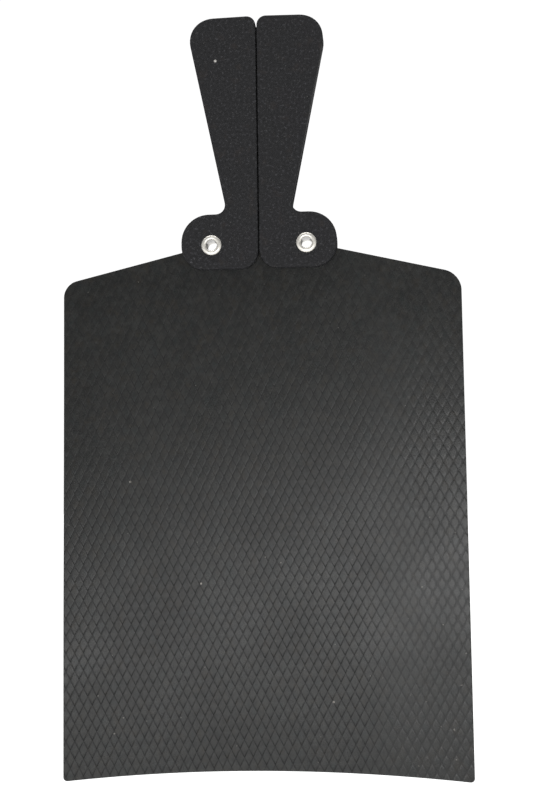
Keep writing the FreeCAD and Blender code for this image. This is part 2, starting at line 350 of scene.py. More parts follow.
    def _pick(self, mode: str, items: str, test: Callable[[Any], bool]) -> None:
        """Select elements by a test.

        Args:
            mode: The select mode.
            items: Which elements of the edit mesh.
            test: Says whether an element is taken.
        """
        bpy.ops.mesh.select_mode(type=mode)
        bpy.ops.mesh.select_all(action="DESELECT")
        shape = bmesh.from_edit_mesh(self.thing.data)
        for item in getattr(shape, items):
            if test(item):
                item.select_set(True)
        shape.select_flush_mode()
        bmesh.update_edit_mesh(self.thing.data)

    def pick_vertices(self, test: Callable[[Vector], bool]) -> None:
        """Select the vertices whose place passes a test."""
        self._pick("VERT", "verts", lambda item: test(item.co))

    def pick_edges(self, test: Callable[[Vector, Vector], bool]) -> None:
        """Select the edges whose two ends' places pass a test."""
        self._pick("EDGE", "edges", lambda item: test(item.verts[0].co, item.verts[1].co))

    def pick_faces(self, test: Callable[[Vector, Vector], bool]) -> None:
        """Select the faces whose middle and normal pass a test."""
        self._pick("FACE", "faces", lambda item: test(item.calc_center_median(), item.normal))

    # ---- shaping

    @staticmethod
    def face_outwards() -> None:
        """Turn every face outwards. The piece is in edit mode."""
        bpy.ops.mesh.select_all(action="SELECT")
        bpy.ops.mesh.normals_make_consistent(inside=False)

    def round_rim(self, level: float, width: float, steps: int) -> None:
        """Round the edges that lie in one plane through the sheet.

        Args:
            level: Where the plane is.
            width: How far the round reaches.
            steps: How many segments it has.
        """
        self.open()
        near = NEAR / 2
        self.pick_edges(lambda one, other: abs(one.y - level) < near and abs(other.y - level) < near)
        bpy.ops.mesh.bevel(offset=width, offset_type="OFFSET", segments=steps, profile=HALF, affect="EDGES")
        self.shut()

    def slice(self, direction: Vector, places: Sequence[float]) -> None:
        """Cut the whole mesh along parallel planes, and keep both sides.

        Args:
            direction: The planes' normal.
            places: How far along it each plane is.
        """
        self.open()
        for place in places:
            bpy.ops.mesh.select_all(action="SELECT")
            bpy.ops.mesh.bisect(plane_co=direction * place, plane_no=direction)
        self.shut()

    def combine(self, cutter: "Workpiece", operation: str) -> None:
        """Cut with, or keep what is inside, another closed shape, which is used up.

        Args:
            cutter: The other shape.
            operation: INTERSECT or DIFFERENCE.
        """
        self.clear_selection()
        bpy.context.view_layer.objects.active = self.thing
        modifier = self.thing.modifiers.new("cut", "BOOLEAN")
        modifier.operation = operation
        modifier.solver = "MANIFOLD"
        modifier.object = cutter.thing
        bpy.ops.object.modifier_apply(modifier=modifier.name)
        cutter.scrap()

    def move_points(self, shift: Callable[[Vector], Vector]) -> None:
        """Move every vertex by a rule.

        Args:
            shift: Gives the new place for an old one.
        """
        for vertex in self.thing.data.vertices:
            vertex.co = shift(vertex.co.copy())
        self.thing.data.update()

    def revolve(self, middle: Vector, steps: int) -> None:
        """Spin a closed profile all the way round a line through the sheet, and close it.

        Args:
            middle: A point on the line.
            steps: How many steps a turn has.
        """
        self.open()
        bpy.ops.mesh.select_all(action="SELECT")
        bpy.ops.mesh.spin(steps=steps, angle=2 * math.pi, center=middle, axis=ALONG_Y)
        bpy.ops.mesh.select_all(action="SELECT")
        bpy.ops.mesh.remove_doubles(threshold=2 * MERGE)
        bpy.ops.mesh.delete_loose(use_verts=True, use_edges=True, use_faces=False)
        self.face_outwards()
        self.shut()

    def tidy(self) -> None:
        """Merge doubled vertices and turn the faces outwards."""
        self.open()
        bpy.ops.mesh.select_all(action="SELECT")
        bpy.ops.mesh.remove_doubles(threshold=MERGE)
        self.face_outwards()
        self.shut()

    def smooth(self, angle: float) -> None:
        """Shade smooth, and keep edges sharper than an angle.

        Args:
            angle: The angle, in degrees.
        """
        self.clear_selection()
        self.thing.select_set(True)
        bpy.context.view_layer.objects.active = self.thing
        bpy.ops.object.shade_smooth_by_angle(angle=math.radians(angle))

    def mirrored(self, name: str, flip: Vector) -> "Workpiece":
        """A copy with its own mesh, mirrored in one or two directions.

        Args:
            name: The copy's name.
            flip: A factor for each direction, 1 or -1.

        Returns:
            The copy.
        """
        mesh = self.thing.data.copy()
        thing = bpy.data.objects.new(name, mesh)
        bpy.context.scene.collection.objects.link(thing)
        copy = Workpiece(thing, name)
        copy.move_points(lambda co: co * flip)
        if flip.x * flip.y * flip.z < 0:
            mesh.flip_normals()
        return copy

    def shifted(self, name: str, offset: Vector) -> "Workpiece":
        """A copy with its own mesh, moved by an offset."""
        copy = self.mirrored(name, Vector((1.0, 1.0, 1.0)))
        copy.move_points(lambda co: co + offset)
        return copy

    def note(self, name: str, rule: Callable[[Vector], float]) -> None:
        """Keep a number for every vertex, for a finish to read.

        Args:
            name: The number's name.
            rule: Gives the number for a place.
        """
        numbers = self.thing.data.attributes.new(name, "FLOAT", "POINT")
        for vertex, slot in zip(self.thing.data.vertices, numbers.data):
            slot.value = rule(vertex.co)

    def scrap(self) -> None:
        """Remove the piece."""
        mesh = self.thing.data
        bpy.data.objects.remove(self.thing)
        bpy.data.meshes.remove(mesh)

    # ---- handing over

    def dress(self, material: bpy.types.Material) -> None:
        """Give the piece one finish."""
        self.thing.data.materials.clear()
        self.thing.data.materials.append(material)

    def report(self) -> None:
        """Log the piece's size."""
        mesh = self.thing.data
        log.info("%s: %d vertices, %d faces", self.thing.name, len(mesh.vertices), len(mesh.polygons))


# ------------------------------------------------------------------ shader maths


@dataclass(frozen=True)
class Grain:
    """A soft noise: how fine it is, how many finer layers it has and how strong they are."""

    scale: float
    detail: float
    rough: float = 0.55


@dataclass(frozen=True)
class Tone:
    """A colour that shows where a signal is high, or with below where it is low."""

    colour: Colour
    low: float
    high: float
    amount: float = 1.0
    below: bool = False


class Signal:
    """A shader socket that can be written in an expression."""

    def __init__(self, graph: "Graph", socket: bpy.types.NodeSocket) -> None:
        """Wrap a socket."""
        self.graph = graph
        self.socket = socket

    def _math(self, operation: str, one: Any, other: Any = None) -> "Signal":
        """Add a Math node."""
        values = {0: one} if other is None else {0: one, 1: other}
        return self.graph.add("ShaderNodeMath", {"operation": operation}, values)

    def __add__(self, other: Any) -> "Signal":
        """Sum."""
        return self._math("ADD", self, other)

    def __radd__(self, other: Any) -> "Signal":
        """Sum, from the right."""
        return self._math("ADD", other, self)

    def __sub__(self, other: Any) -> "Signal":
        """Difference."""
        return self._math("SUBTRACT", self, other)

    def __rsub__(self, other: Any) -> "Signal":
        """Difference, from the right."""
        return self._math("SUBTRACT", other, self)

    def __mul__(self, other: Any) -> "Signal":
        """Product."""
        return self._math("MULTIPLY", self, other)

    def __rmul__(self, other: Any) -> "Signal":
        """Product, from the right."""
        return self._math("MULTIPLY", other, self)

    def top(self, other: Any) -> "Signal":
        """The larger of two values."""
        return self._math("MAXIMUM", self, other)

    def sine(self) -> "Signal":
        """The sine."""
        return self._math("SINE", self)

    def swing(self, amount: float) -> "Signal":
        """A value from 0 to 1, as a change to either side of its middle."""
        return (self - HALF) * amount

    def rise(self, low: float, high: float) -> "Signal":
        """A soft rise from 0 at low to 1 at high."""
        settings = {"interpolation_type": "SMOOTHSTEP", "clamp": True}
        return self.graph.add("ShaderNodeMapRange", settings, {0: self, 1: low, 2: high, 3: 0.0, 4: 1.0})


class Graph:
    """One material's nodes."""

    def __init__(self, name: str) -> None:
        """Start a material.

        Args:
            name: The material's name.
        """
        self.material = bpy.data.materials.new(name)
        self.material.use_nodes = True
        self.tree = self.material.node_tree
        self.shader = self.tree.nodes["Principled BSDF"]

    def add(self, kind: str, settings: dict[str, Any], values: dict[Any, Any], output: Any = 0) -> Signal:
        """Add a node: its settings first, then its sockets.

        Args:
            kind: The node's type.
            settings: Its settings by name.
            values: A value or a signal for each input, by name or number.
            output: Which output is wanted, by name or number.

        Returns:
            The wanted output.
        """
        node = self.tree.nodes.new(kind)
        for name, setting in settings.items():
            setattr(node, name, setting)
        for name, value in values.items():
            self.feed(node, name, value)
        return Signal(self, node.outputs[output])

    def feed(self, node: bpy.types.Node, name: Any, value: Any) -> None:
        """Set one input of a node.

        Args:
            node: The node.
            name: The input's name or number.
            value: A value or a signal.
        """
        if isinstance(value, Signal):
            self.tree.links.new(value.socket, node.inputs[name])
        else:
            node.inputs[name].default_value = value

    def place(self) -> Signal:
        """Where the surface is, in the frame."""
        return self.add("ShaderNodeTexCoord", {}, {}, "Object")

    def attribute(self, name: str) -> Signal:
        """A number that was kept for every vertex."""
        return self.add("ShaderNodeAttribute", {"attribute_name": name}, {}, "Fac")

    def mapped(self, shift: Vector, scale: Vector) -> Signal:
        """Where the surface is, scaled and then shifted."""
        values = {"Vector": self.place(), "Location": shift, "Scale": scale}
        return self.add("ShaderNodeMapping", {}, values)

    def noise(self, place: Signal, grain: Grain) -> Signal:
        """Soft noise from 0 to 1, read at a place."""
        values = {"Vector": place, "Scale": grain.scale, "Detail": grain.detail, "Roughness": grain.rough}
        return self.add("ShaderNodeTexNoise", {}, values)

    def weave(self, pitch: float) -> Signal:
        """A woven print over the sheet, from -1 to 1.

        Args:
            pitch: The distance after which it repeats.

        Returns:
            The print.
        """
        turns = 2 * math.pi / pitch
        place = self.place()
        across = self.add("ShaderNodeSeparateXYZ", {}, {0: place}, "X")
        along = self.add("ShaderNodeSeparateXYZ", {}, {0: place}, "Z")
        return (across * turns).sine() * (along * turns).sine()

    def spot(self, centre: Vector, size: Band) -> Signal:
        """A round mark: 1 inside, 0 outside.

        Args:
            centre: Its middle.
            size: The radii where it starts to fade and where it has faded.

        Returns:
            The mark.
        """
        values = {0: self.place(), 1: centre}
        far = self.add("ShaderNodeVectorMath", {"operation": "DISTANCE"}, values, "Value")
        return 1.0 - far.rise(*size)

    def blend(self, amount: Any, one: Any, other: Any) -> Signal:
        """A colour between two."""
        settings = {"data_type": "RGBA", "clamp_factor": True}
        return self.add("ShaderNodeMix", settings, {0: amount, 6: one, 7: other}, 2)

    def tone(self, colour: Any, signal: Signal, tone: Tone, share: Any = 1.0) -> Signal:
        """A colour with a tone laid over it.

        Args:
            colour: The colour so far.
            signal: What says where the tone shows.
            tone: The tone.
            share: How much of it is laid, besides its own amount.

        Returns:
            The colour.
        """
        shown = signal.rise(tone.low, tone.high)
        if tone.below:
            shown = 1.0 - shown
        return self.blend(shown * tone.amount * share, colour, tone.colour)

    def bump(self, height: Signal, depth: float) -> Signal:
        """A normal bumped by a height from 0 to 1, where 1 is as high as the depth."""
        return self.add("ShaderNodeBump", {}, {"Height": height, "Distance": depth, "Strength": 1.0})

    def finish(self, colour: Any, roughness: Any, normal: Any = None, **fixed: Any) -> bpy.types.Material:
        """Feed the shader.

        Args:
            colour: The base colour.
            roughness: The roughness.
            normal: The normal, if it is bumped.
            fixed: Values that are the same all over, by socket name with _ for a space.

        Returns:
            The material.
        """
        self.feed(self.shader, "Base Color", colour)
        self.feed(self.shader, "Roughness", roughness)
        if normal is not None:
            self.feed(self.shader, "Normal", normal)
        for name, value in fixed.items():
            self.feed(self.shader, name.replace("_", " "), value)
        return self.material


# ------------------------------------------------------------------ finishes


@dataclass(frozen=True)
class EmbossedRubber:
    """Satin black sheet rubber: clean tops, grooves darkened by dirt and painted shade, painted shade under
    the diamonds' proud lower tips, worn patches, faint colour and a little dust.
    """

    top: Colour = (0.0146, 0.0149, 0.0141, 1.0)
    # groove colour: darker than the tops, partly dirt and partly painted shade in the recesses
    groove_dirt_and_shade: Colour = (0.0085, 0.0087, 0.0087, 1.0)
    # painted shade under the diamonds' proud lower tips
    painted_shade: Colour = (0.0035, 0.0036, 0.0036, 1.0)
    dust: Colour = (0.34, 0.32, 0.29, 1.0)
    pale_streak: Colour = (0.085, 0.09, 0.1, 1.0)
    warm: Tone = Tone((0.0180, 0.0155, 0.0120, 1.0), 0.52, 0.72, 0.55)
    cool: Tone = Tone((0.0115, 0.0150, 0.0155, 1.0), 0.30, 0.48, 0.5, below=True)
    sunk: Tone = Tone((0.0085, 0.0087, 0.0087, 1.0), 0.0, 0.3, 0.35)
    pale: Tone = Tone((0.0195, 0.0200, 0.0190, 1.0), 0.5, 0.7, 0.75)
    dark: Tone = Tone((0.0085, 0.0088, 0.0086, 1.0), 0.3, 0.5, 0.75, below=True)
    cloud: Grain = Grain(26.0, 4.0)
    tint: Grain = Grain(210.0, 2.0)
    grain: Grain = Grain(1500.0, 2.0)
    fine: Grain = Grain(4200.0, 1.0)
    mottle: Grain = Grain(380.0, 2.0)
    motes: Grain = Grain(640.0, 0.0)
    raised: Band = (0.05, 0.85)
    mote_band: Band = (0.86, 0.89)
    mote_amount: float = 0.5
    speck_size: Band = (0.25 * MM, 0.75 * MM)
    speck_amount: float = 0.55
    mark_shape: tuple[float, float, float] = (1.0, 0.0, 0.22)
    mark_size: Band = (0.5 * MM, 1.3 * MM)
    mark_amount: float = 0.4
    shade_amount: float = 0.7
    satin: float = 0.305
    cloud_dulls: float = 0.22
    grain_dulls: float = 0.16
    groove_dulls: float = 0.05
    shade_dulls: float = 0.5
    grain_share: float = 0.6
    grain_depth: float = 0.05 * MM
    specular: float = 0.22

    def material(self, specks: Sequence[Vector], mark: Vector) -> bpy.types.Material:
        """Build the finish.

        Args:
            specks: Where larger specks of dust lie.
            mark: The middle of the pale streak below the seam.

        Returns:
            The material.
        """
        graph = Graph("embossed_rubber")
        place = graph.place()
        cloud = graph.noise(place, self.cloud)
        tint = graph.noise(place, self.tint)
        grain = graph.noise(place, self.grain)
        mottle = graph.noise(place, self.mottle)
        raised = graph.attribute("relief").rise(*self.raised)
        shade = graph.attribute("shade")
        # the grooves take the darker colour: partly dirt, partly painted shade
        colour = graph.blend(raised, self.groove_dirt_and_shade, self.top)
        colour = graph.tone(colour, tint, self.warm)
        colour = graph.tone(colour, tint, self.cool, raised)
        colour = graph.tone(colour, grain - HALF, self.sunk)
        colour = graph.tone(colour, mottle, self.pale)
        colour = graph.tone(colour, mottle, self.dark)
        dusty = graph.noise(place, self.motes).rise(*self.mote_band) * self.mote_amount
        for centre in specks:
            dusty = dusty.top(graph.spot(centre, self.speck_size))
        colour = graph.blend(dusty * self.speck_amount, colour, self.dust)
        # a pale vertical streak below the seam
        line = graph.mapped(mark * -1.0, Vector(self.mark_shape))
        far = graph.add("ShaderNodeVectorMath", {"operation": "LENGTH"}, {0: line}, "Value")
        colour = graph.blend((1.0 - far.rise(*self.mark_size)) * self.mark_amount, colour, self.pale_streak)
        # painted shade: darker under the diamonds' proud lower tips
        colour = graph.blend(shade * self.shade_amount, colour, self.painted_shade)
        roughness = self.satin + cloud.swing(self.cloud_dulls) + grain.swing(self.grain_dulls)
        roughness = roughness + (1.0 - raised) * self.groove_dulls + shade * self.shade_dulls
        fine = graph.noise(place, self.fine)
        normal = graph.bump(grain * self.grain_share + fine * (1.0 - self.grain_share), self.grain_depth)
        return graph.finish(colour, roughness, normal, Specular_IOR_Level=self.specular)


@dataclass(frozen=True)
class ClothMarkedRubber:
    """The sheet's back: dull rubber with the print of the cloth that it was cured against, and scuffs."""

    plain: Colour = (0.034, 0.034, 0.033, 1.0)
    scuff: Colour = (0.075, 0.073, 0.068, 1.0)
    print_hollow: Colour = (0.02, 0.02, 0.02, 1.0)
    cloud: Grain = Grain(18.0, 4.0)
    scratch: Grain = Grain(1.0, 3.0)
    grain: Grain = Grain(1800.0, 2.0)
    scratch_stretch: tuple[float, float, float] = (30.0, 30.0, 420.0)
    scratch_band: Band = (0.58, 0.75)
    scuffed_band: Band = (0.4, 0.7)
    scuff_amount: float = 0.7
    print_amount: float = 0.3
    pitch: float = 1.4 * MM
    dullness: float = 0.62
    cloud_dulls: float = 0.2
    scratch_shines: float = 0.1
    print_share: float = 0.7
    print_depth: float = 0.09 * MM
    specular: float = 0.35

    def material(self) -> bpy.types.Material:
        """Build the finish.

        Returns:
            The material.
        """
        graph = Graph("cloth_marked_rubber")
        place = graph.place()
        weave = graph.weave(self.pitch) * HALF + HALF
        cloud = graph.noise(place, self.cloud)
        lines = graph.mapped(Vector(), Vector(self.scratch_stretch))
        scratch = graph.noise(lines, self.scratch).rise(*self.scratch_band)
        scuffed = scratch * cloud.rise(*self.scuffed_band) * self.scuff_amount
        colour = graph.blend(scuffed, self.plain, self.scuff)
        colour = graph.blend((1.0 - weave) * self.print_amount, colour, self.print_hollow)
        roughness = self.dullness + cloud.swing(self.cloud_dulls) - scratch * self.scratch_shines
        grain = graph.noise(place, self.grain)
        normal = graph.bump(weave * self.print_share + grain * (1.0 - self.print_share), self.print_depth)
        return graph.finish(colour, roughness, normal, Specular_IOR_Level=self.specular)


@dataclass(frozen=True)
class WovenPly:
    """The cloth inside the sheet, seen at its cut edge as rows of thread ends."""

    thread: Colour = (0.115, 0.112, 0.105, 1.0)
    gap: Colour = (0.022, 0.022, 0.022, 1.0)
    fuzz: Grain = Grain(3500.0, 3.0)
    weave: Band = (-0.4, 0.7)
    thread_amount: float = 0.5
    fuzz_amount: float = 0.6
    pitch: float = 0.9 * MM
    dullness: float = 0.88
    weave_share: float = 0.7
    weave_depth: float = 0.12 * MM
    specular: float = 0.2

    def material(self) -> bpy.types.Material:
        """Build the finish.

        Returns:
            The material.
        """
        graph = Graph("woven_ply")
        weave = graph.weave(self.pitch).rise(*self.weave)
        fuzz = graph.noise(graph.place(), self.fuzz)
        amount = weave * (self.thread_amount + fuzz * self.fuzz_amount)
        colour = graph.blend(amount, self.gap, self.thread)
        normal = graph.bump(weave * self.weave_share + fuzz * (1.0 - self.weave_share), self.weave_depth)
        return graph.finish(colour, self.dullness, normal, Specular_IOR_Level=self.specular)


@dataclass(frozen=True)
class GrainedRubber:
    """Matt black moulded rubber with a fine grain and a little dust."""

    base: Colour = (0.0120, 0.0120, 0.0130, 1.0)
    dust: Colour = (0.55, 0.53, 0.50, 1.0)
    light: Tone = Tone((0.066, 0.066, 0.072, 1.0), 0.52, 0.72)
    dark: Tone = Tone((0.006, 0.006, 0.0066, 1.0), 0.34, 0.48, 0.8, below=True)
    warm: Tone = Tone((0.021, 0.0175, 0.016, 1.0), 0.56, 0.75, 0.5)
    cloud: Grain = Grain(45.0, 3.0)
    grain: Grain = Grain(700.0, 3.0, 0.75)
    speck: Grain = Grain(1700.0, 1.0)
    tint: Grain = Grain(160.0, 2.0)
    light_least: float = 0.35
    light_more: float = 0.5
    mote_band: Band = (0.72, 0.78)
    mote_amount: float = 0.12
    speck_size: Band = (0.35 * MM, 1.0 * MM)
    speck_amount: float = 0.8
    dullness: float = 0.74
    grain_dulls: float = 0.3
    cloud_dulls: float = 0.1
    grain_share: float = 0.7
    grain_depth: float = 0.16 * MM
    specular: float = 0.2

    def material(self, specks: Sequence[Vector]) -> bpy.types.Material:
        """Build the finish.

        Args:
            specks: Where larger specks of dust lie.

        Returns:
            The material.
        """
        graph = Graph("grained_rubber")
        place = graph.place()
        cloud = graph.noise(place, self.cloud)
        grain = graph.noise(place, self.grain)
        speck = graph.noise(place, self.speck)
        colour = graph.tone(self.base, grain, self.light, self.light_least + cloud * self.light_more)
        colour = graph.tone(colour, grain, self.dark)
        colour = graph.tone(colour, graph.noise(place, self.tint), self.warm)
        motes = speck.rise(*self.mote_band) * self.mote_amount
        for centre in specks:
            motes = motes.top(graph.spot(centre, self.speck_size) * self.speck_amount)
        colour = graph.blend(motes, colour, self.dust)
        roughness = self.dullness + grain.swing(self.grain_dulls) + cloud.swing(self.cloud_dulls)
        normal = graph.bump(grain * self.grain_share + speck * (1.0 - self.grain_share), self.grain_depth)
        return graph.finish(colour, roughness, normal, Specular_IOR_Level=self.specular)


@dataclass(frozen=True)
class MouldedPlastic:
    """The stiffener: plain dark plastic with faint flow marks."""

    base: Colour = (0.05, 0.05, 0.055, 1.0)
    pale: Tone = Tone((0.085, 0.085, 0.09, 1.0), 0.4, 0.75)
    flow: Grain = Grain(160.0, 4.0)
    grain: Grain = Grain(2200.0, 2.0)
    flow_stretch: tuple[float, float, float] = (1.0, 1.0, 0.25)
    dullness: float = 0.42
    flow_dulls: float = 0.2
    grain_dulls: float = 0.1
    grain_depth: float = 0.03 * MM

    def material(self) -> bpy.types.Material:
        """Build the finish.

        Returns:
            The material.
        """
        graph = Graph("moulded_plastic")
        flow = graph.noise(graph.mapped(Vector(), Vector(self.flow_stretch)), self.flow)
        grain = graph.noise(graph.place(), self.grain)
        colour = graph.tone(self.base, flow, self.pale)
        roughness = self.dullness + flow.swing(self.flow_dulls) + grain.swing(self.grain_dulls)
        return graph.finish(colour, roughness, graph.bump(grain, self.grain_depth))


@dataclass(frozen=True)
class NickelPlate:
    """Satin nickel on pressed brass: warm grey with fine brushing, and painted shade darkening the bore's
    wall.
    """

    bright: Colour = (0.66, 0.64, 0.59, 1.0)
    # inside: painted shade for the bore's wall
    inside: Colour = (0.30, 0.29, 0.27, 1.0)
    dull: Tone = Tone((0.50, 0.475, 0.43, 1.0), 0.5, 0.8, 0.55)
    cloud: Grain = Grain(420.0, 3.0)
    fine: Grain = Grain(2600.0, 3.0)
    satin: float = 0.34
    cloud_dulls: float = 0.10
    fine_dulls: float = 0.08
    inside_shines: float = 0.12
    fine_depth: float = 0.006 * MM
    metallic: float = 0.6

    def material(self) -> bpy.types.Material:
        """Build the finish.

        Returns:
            The material.
        """
        graph = Graph("nickel_plate")
        place = graph.place()
        cloud = graph.noise(place, self.cloud)
        fine = graph.noise(place, self.fine)
        painted_bore_shade = graph.attribute("inside")
        colour = graph.tone(self.bright, cloud, self.dull)
        # painted shade: the bore's wall is darker
        colour = graph.blend(painted_bore_shade, colour, self.inside)
        roughness = self.satin + cloud.swing(self.cloud_dulls) + fine.swing(self.fine_dulls)
        roughness = roughness - painted_bore_shade * self.inside_shines
        return graph.finish(colour, roughness, graph.bump(fine, self.fine_depth), Metallic=self.metallic)


# ------------------------------------------------------------------ the sheet


@dataclass(frozen=True)
class Bumps:
    """An uneven field of soft highs and lows."""

    across: float
    sway: float
    sway_rate: float
    up: float
    start: float

    def at(self, across: float, up: float) -> float:
        """The field's value at a place, from -1 to 1."""
        swayed = across * self.across + self.sway * math.sin(up * self.sway_rate)
        return math.sin(swayed) * math.sin(up * self.up + self.start)


@dataclass
class LeafSheet:
    """The embossed sheet: three bonded layers, each in one piece from the hem to the top of the tongue."""

    shoulder_foot: float = 5.0 * MM
    shoulder_round: float = 10.5 * MM
    left_round: float = 8.5 * MM
    shoulder_inner: float = 40.0 * MM
    shoulder_inner_fall: float = 10.0 * MM
    tongue_inset: float = 0.6 * MM
    neck_half: float = 15.6 * MM
    neck_round: float = 5.6 * MM
    lobe_height: float = 28.6 * MM
    lobe_round: float = 13.6 * MM
    top_half: float = 36.8 * MM
    top_round: float = 11.9 * MM
    hem_rise: float = 5.2 * MM
    hem_round: float = 2.0 * MM
    hem_steps: int = 28
    corner_steps: int = 8

    relief: float = 0.12 * MM
    pitch_across: float = 4.4 * MM
    pitch_up: float = 8.75 * MM
    groove_half: float = 0.10 * MM
    slope: float = 0.30 * MM
    crown: float = 0.40 * MM
    slope_share: float = 0.88
    crown_foot: float = 0.95
    spare: float = 12.0 * MM
    spare_cells: int = 4
    facing: float = -0.9

    stretch_linear: float = 0.455
    stretch_square: float = 6.85
    sag_angle: float = 2.6
    sag_side: float = 60.0 * MM
    sag_reach: Band = (0.0, 120.0 * MM)
    sag_down: Band = (120.0 * MM, 260.0 * MM)
    sag_least: float = 0.45
    sag_more: float = 0.55

    shingle: float = 0.85
    shingle_band: Band = (40.0 * MM, 75.0 * MM)
    line_width: float = 0.012
    node_shade: float = 0.75
    tip_shade: float = 1.6
    tip_gather: float = 1.8
    evening_steps: int = 8

    relief_least: float = 0.24
    relief_more: float = 0.54
    edge_across: Band = (20.0 * MM, 85.0 * MM)
    edge_down: Band = (110.0 * MM, 200.0 * MM)
    lower_down: Band = (150.0 * MM, 230.0 * MM)
    lower_share: float = 0.6
    worn_from: Band = (44.0 * MM, 60.0 * MM)
    worn_to: Band = (62.0 * MM, 80.0 * MM)
    worn_loss: float = 0.14
    patches: Bumps = Bumps(61.0, 1.3, 37.0, 43.0, 0.8)
    speckle: Bumps = Bumps(1730.0, 3.0, 610.0, 1290.0, 2.0)
    bumps_share: float = 0.06

    bend_length: float = 72.0 * MM
    mesh_step: float = 8.0 * MM
    mesh_offset: float = 0.6
    eyelet_hole: float = 3.3 * MM
    hole_sides: int = 48
    back_rim: float = 0.25 * MM
    cover_angle: float = 50.0
    layer_angle: float = 40.0
    left_curl: float = 1.5 * MM
    right_curl: float = 0.8 * MM
    curl_band: Band = (20.0 * MM, 200.0 * MM)
    ripple: float = 0.3 * MM
    ripple_across: float = 34.0
    ripple_up: float = 12.0
    specks: tuple[Band, ...] = (
        (-32.0 * MM, -242.0 * MM),
        (34.0 * MM, -301.0 * MM),
        (-68.0 * MM, -190.0 * MM),
    )
    mark_rise: float = 1.5 * MM

    def __post_init__(self) -> None:
        """Read the layers' places from the frame."""
        self.low, self.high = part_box("leaf_face")
        self.tongue_low, self.tongue_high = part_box("tongue_face")
        self.grip_low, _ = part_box("grip_front_right")
        self.half_width = self.high.x
        self.middle_height = (self.tongue_high.z + self.low.z) / 2
        self.middle = Vector((0.0, self.low.y + self.relief, self.middle_height))
        self.floor = self.middle.y
        bores = ("eyelet_bore_left", "eyelet_bore_right")
        mounts = frame["record"]["mounts"]
        self.bores = [Vector(item["pos_m"]) for item in mounts if item["name"] in bores]
        hinge = next(joint for joint in frame["joints"] if joint["name"] == "leaf_flex")
        self.bend_start = Vector(hinge.get("anchor_m") or hinge.get("pos_m")).z

    def outline(self) -> list[Corner]:
        """The sheet's outline, with its concave hem.

        Returns:
            The corners, in order from the lower left.
        """
        grip_bottom = self.grip_low.z
        shoulder = grip_bottom - self.shoulder_foot
        inner = grip_bottom + self.shoulder_inner_fall
        lobe_top = grip_bottom + self.lobe_height - self.tongue_inset
        lobe = self.shoulder_inner - self.tongue_inset
        hem = self.low.z
        right = [
            Corner(self.half_width, hem, self.hem_round),
            Corner(self.half_width, shoulder, self.shoulder_round),
            Corner(lobe, inner),
            Corner(lobe, lobe_top, self.lobe_round),
            Corner(self.neck_half, lobe_top, self.neck_round),
            Corner(self.top_half, self.tongue_high.z, self.top_round),
        ]
        left = [Corner(-corner.across, corner.up, corner.radius) for corner in reversed(right)]
        left[-2] = Corner(-self.half_width, shoulder, self.left_round)
        half_chord = self.half_width
        radius = (half_chord**2 + self.hem_rise**2) / (2 * self.hem_rise)
        hem_line = []
        for step in range(1, self.hem_steps):
            across = -half_chord + 2 * half_chord * step / self.hem_steps
            rise = math.sqrt(radius**2 - across**2) - (radius - self.hem_rise)
            hem_line.append(Corner(across, hem + rise))
        return hem_line + right + left

    # ---- the pattern

    def stretch(self, across: float) -> float:
        """Where a place on the even pattern lies on the sheet, which is stretched towards one side."""
        return across + self.stretch_linear * across**2 / 2 + self.stretch_square * across**3 / 3

    def sag(self, across: float, up: float) -> float:
        """How far the rows of the pattern have slipped down at a place.

        Args:
            across: The place across.
            up: The place's height.

        Returns:
            The slip.
        """
        left = min(across, self.sag_side) - self.sag_side
        lower = self.sag_least + self.sag_more * smooth_step(-up, *self.sag_down)
        slope = math.tan(math.radians(self.sag_angle))
        return slope * left * lower * smooth_step(-left, *self.sag_reach)

    def evened(self, place: Vector) -> Vector:
        """Where a place on the real pattern lies on the even one.

        Args:
            place: The real place.

        Returns:
            The even place.
        """
        across, up = place.x, place.z
        for _ in range(self.evening_steps):
            across -= self.stretch(across) - place.x
            up = place.z - self.sag(place.x, up)
        return Vector((across, place.y, up))

    def cell_shares(self, place: Vector) -> tuple[float, float]:
        """How far a place on the even pattern is across its own diamond, along both diagonal lines."""
        across, up = place.x / self.pitch_across, (place.z - self.middle_height) / self.pitch_up
        return (across + up) % 1.0, (across - up) % 1.0

    def lean(self, across: float) -> float:
        """How much the diamonds lie like shingles with a proud lower tip, from 0 for flat tops to 1."""
        return self.shingle * (1.0 - smooth_step(across, *self.shingle_band))

    def depth_of_relief(self, across: float, up: float) -> float:
        """How much of the full relief is left at a place, worn down in soft patches.

        Args:
            across: The place across.
            up: The place's height.

        Returns:
            A factor from 0 to 1.
        """
        edge = smooth_step(across, *self.edge_across) * smooth_step(-up, *self.edge_down)
        kept = max(edge, self.lower_share * smooth_step(-up, *self.lower_down))
        depth = self.relief_least + self.relief_more * kept
        for bumps in (self.patches, self.speckle):
            depth += self.bumps_share * bumps.at(across, up)
        worn = smooth_step(across, *self.worn_from) * (1.0 - smooth_step(across, *self.worn_to))
        return depth - self.worn_loss * worn

    def laid(self, place: Vector) -> Vector:
        """A place on the even pattern, moved to where the real pattern has it.

        Args:
            place: The even place.

        Returns:
            The real place.
        """
        across = self.stretch(place.x)
        up = place.z + self.sag(across, place.z)
        through = place.y
        if through < self.floor:
            one, other = self.cell_shares(place)
            raised = self.depth_of_relief(across, up) * (1.0 - self.lean(across) * (one - other))
            through = self.floor + (through - self.floor) * min(raised, 1.0)
        return Vector((across, through, up))

    def share_of_relief(self, place: Vector) -> float:
        """How far up the raised diamonds a place is."""
        full = self.relief * self.depth_of_relief(place.x, place.z)
        return min(max((self.floor - place.y) / full, 0.0), 1.0)

